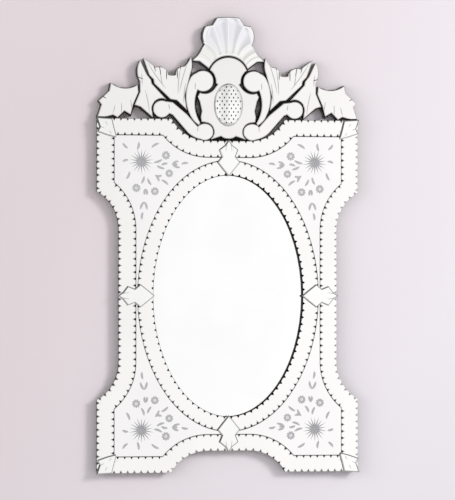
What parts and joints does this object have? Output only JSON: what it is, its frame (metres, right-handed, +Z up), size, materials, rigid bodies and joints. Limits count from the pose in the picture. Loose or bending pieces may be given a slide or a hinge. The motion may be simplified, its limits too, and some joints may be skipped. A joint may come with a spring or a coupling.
{
  "type": "wall mirror",
  "caption": "Oval wall mirror in a shaped frame faced with notched strips and panels of mirror glass, with a pierced crest of glass leaves, scrolls and a fluted shell.",
  "frame": {"origin": "on the flat back of the board, on the centre plane, midway between the oval opening and the top edge of the frame; the wall is the plane y = 0", "axes": "+Z up along the height, +Y from the mirror into the wall, +X to the right as seen from the front"},
  "size_m": [0.7162, 0.0346, 1.2181],
  "materials": {
    "mirror_glass": "silvered glass, polished, with ground notches and cut ornament",
    "black_paint": "board painted satin black",
    "hardboard": "raw hardboard"
  },
  "bodies": {
    "root": {"back_panel": "hardboard", "centre_mirror": "mirror_glass", "corner_clasp_bottom_left": "mirror_glass", "corner_clasp_bottom_right": "mirror_glass", "corner_clasp_top_left": "mirror_glass", "corner_clasp_top_right": "mirror_glass", "corner_panel_bottom_left": "mirror_glass", "corner_panel_bottom_right": "mirror_glass", "corner_panel_top_left": "mirror_glass", "corner_panel_top_right": "mirror_glass", "crest_acanthus_left": "mirror_glass", "crest_acanthus_right": "mirror_glass", "crest_c_scroll_left": "mirror_glass", "crest_c_scroll_right": "mirror_glass", "crest_cabochon": "mirror_glass", "crest_cartouche": "mirror_glass", "crest_mid_leaf_left": "mirror_glass", "crest_mid_leaf_right": "mirror_glass", "crest_outer_leaf_left": "mirror_glass", "crest_outer_leaf_right": "mirror_glass", "crest_s_scroll_left": "mirror_glass", "crest_s_scroll_right": "mirror_glass", "crest_shell": "mirror_glass", "frame_board": "black_paint", "inner_strip_bottom_left": "mirror_glass", "inner_strip_bottom_right": "mirror_glass", "inner_strip_top_left": "mirror_glass", "inner_strip_top_right": "mirror_glass", "outer_strip_bottom_left": "mirror_glass", "outer_strip_bottom_right": "mirror_glass", "outer_strip_left_lower": "mirror_glass", "outer_strip_left_upper": "mirror_glass", "outer_strip_right_lower": "mirror_glass", "outer_strip_right_upper": "mirror_glass", "outer_strip_top_left": "mirror_glass", "outer_strip_top_right": "mirror_glass", "side_clasp_bottom": "mirror_glass", "side_clasp_left": "mirror_glass", "side_clasp_right": "mirror_glass", "side_clasp_top": "mirror_glass"}
  },
  "joints": []
}
